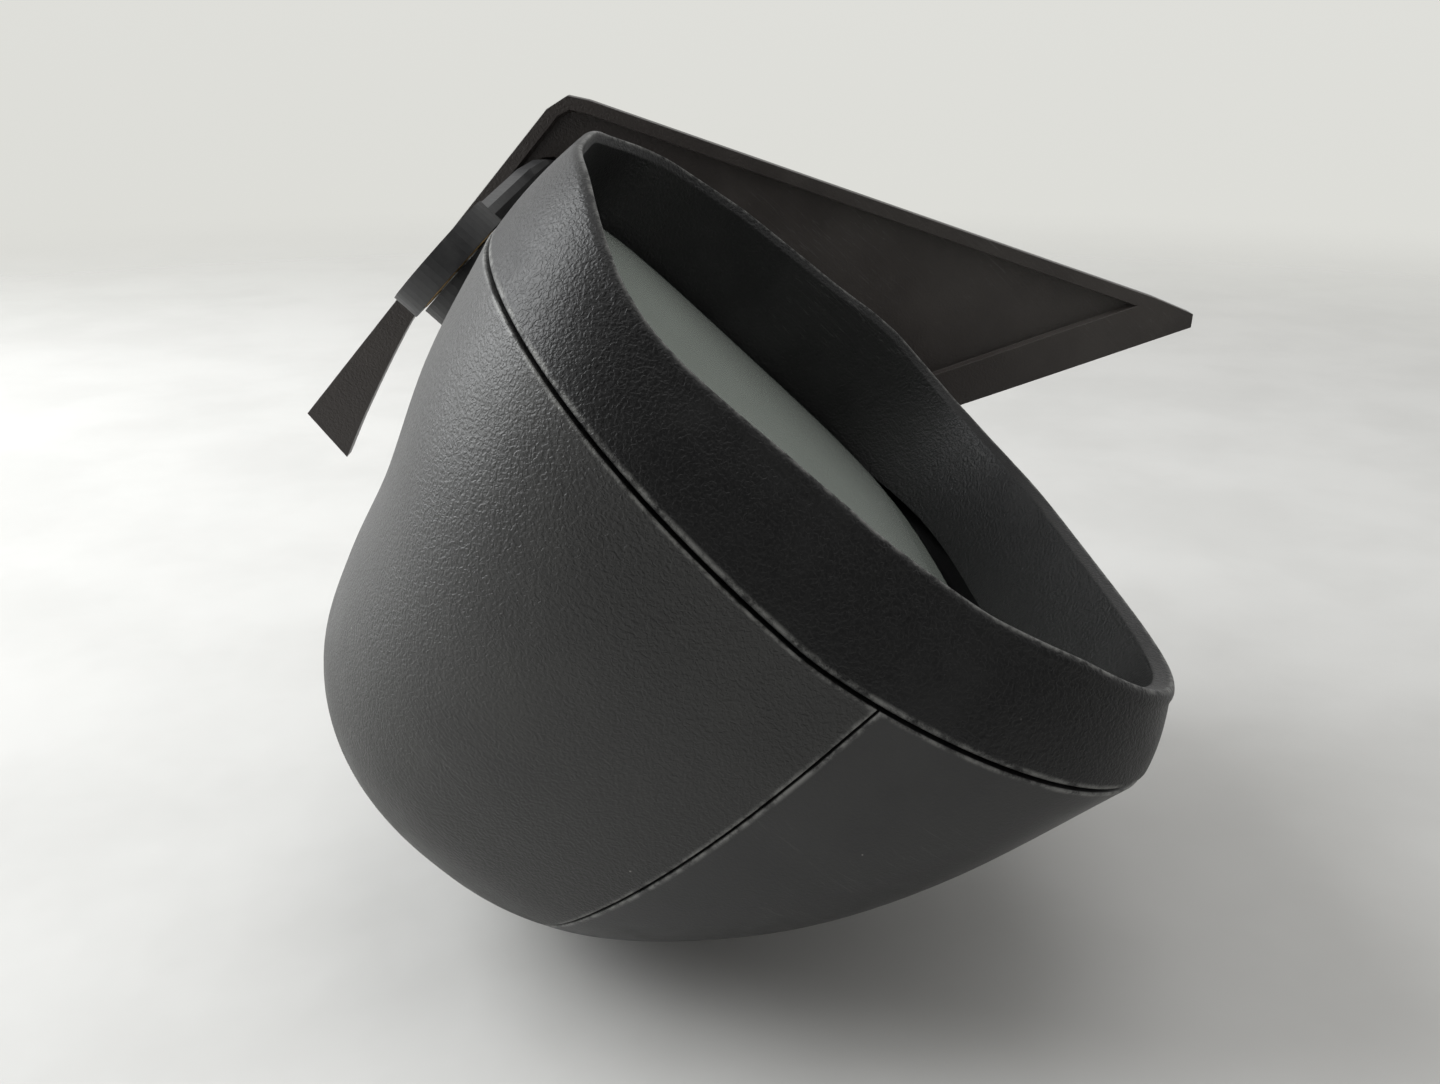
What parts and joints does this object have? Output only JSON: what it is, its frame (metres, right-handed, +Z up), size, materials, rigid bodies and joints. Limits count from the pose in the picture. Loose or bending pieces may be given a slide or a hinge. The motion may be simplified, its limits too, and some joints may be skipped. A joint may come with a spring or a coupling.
{
  "type": "car door mirror",
  "caption": "Right-hand car door mirror: folding two-piece shell with framed, tilting glass on a neck and sail-shaped foot that bolts to the door.",
  "frame": {"origin": "on the foot's flat back face, on the plate between its upper stud and its two lower studs; x = 0 is the door's surface", "axes": "+X outboard away from the door, +Y to the front of the car, +Z up; the glass faces -Y"},
  "size_m": [0.204, 0.1718, 0.1458],
  "materials": {
    "grained_plastic": "moulded grain, black",
    "satin_plastic": "smooth satin, black",
    "inner_plastic": "plain moulded, black",
    "pale_nylon": "natural nylon",
    "cast_metal": "black coated casting",
    "steel": "zinc plated",
    "bronze": "sintered bronze",
    "rubber": "matt",
    "mirror": "silvered glass, faint green",
    "heater": "amber film"
  },
  "bodies": {
    "foot": {"sail_base": "cast_metal", "sail_cover": "grained_plastic", "sail_gasket": "rubber", "mount_stud_1": "steel", "mount_stud_2": "steel", "mount_stud_3": "steel", "wire_grommet": "rubber", "pivot_tube": "steel", "detent_ring": "bronze", "spring_washer": "steel", "retaining_clip": "steel", "fold_spring": "steel"},
    "head": {"bezel": "grained_plastic", "lower_shell": "grained_plastic", "top_cap": "satin_plastic", "carrier": "inner_plastic", "adjuster_housing": "inner_plastic", "motor_1": "steel", "motor_2": "steel", "adjuster_screw_1": "steel", "adjuster_screw_2": "steel", "adjuster_screw_3": "steel"},
    "cross": {"tilt_cross": "pale_nylon"},
    "glass": {"backing_plate": "inner_plastic", "heater_pad": "heater", "mirror_glass": "mirror"},
    "up_drive": {"up_jack": "pale_nylon"},
    "side_drive": {"side_jack": "pale_nylon"}
  },
  "joints": [
    {"name": "head_fold", "type": "hinge", "parent": "foot", "child": "head", "pos_m": [0.06, 0.021, -0.0534], "axis": [0, 0, -1], "range_deg": [-22, 34]},
    {"name": "glass_up_tilt", "type": "hinge", "parent": "head", "child": "cross", "pos_m": [0.104, 0.008, 0.006], "axis": [1, 0, 0], "range_deg": [-5, 5]},
    {"name": "glass_side_tilt", "type": "hinge", "parent": "cross", "child": "glass", "pos_m": [0.104, 0.008, 0.006], "axis": [0, 0, 1], "range_deg": [-5, 5]},
    {"name": "up_jack_slide", "type": "slide", "parent": "head", "child": "up_drive", "axis": [0, 1, 0], "range_m": [-0.0018, 0.0018]},
    {"name": "side_jack_slide", "type": "slide", "parent": "head", "child": "side_drive", "axis": [0, 1, 0], "range_m": [-0.0018, 0.0018]}
  ],
  "couplings": [
    {"joint": "up_jack_slide", "follows": "glass_up_tilt", "m_per_rad": 0.02},
    {"joint": "side_jack_slide", "follows": "glass_side_tilt", "m_per_rad": -0.02}
  ]
}
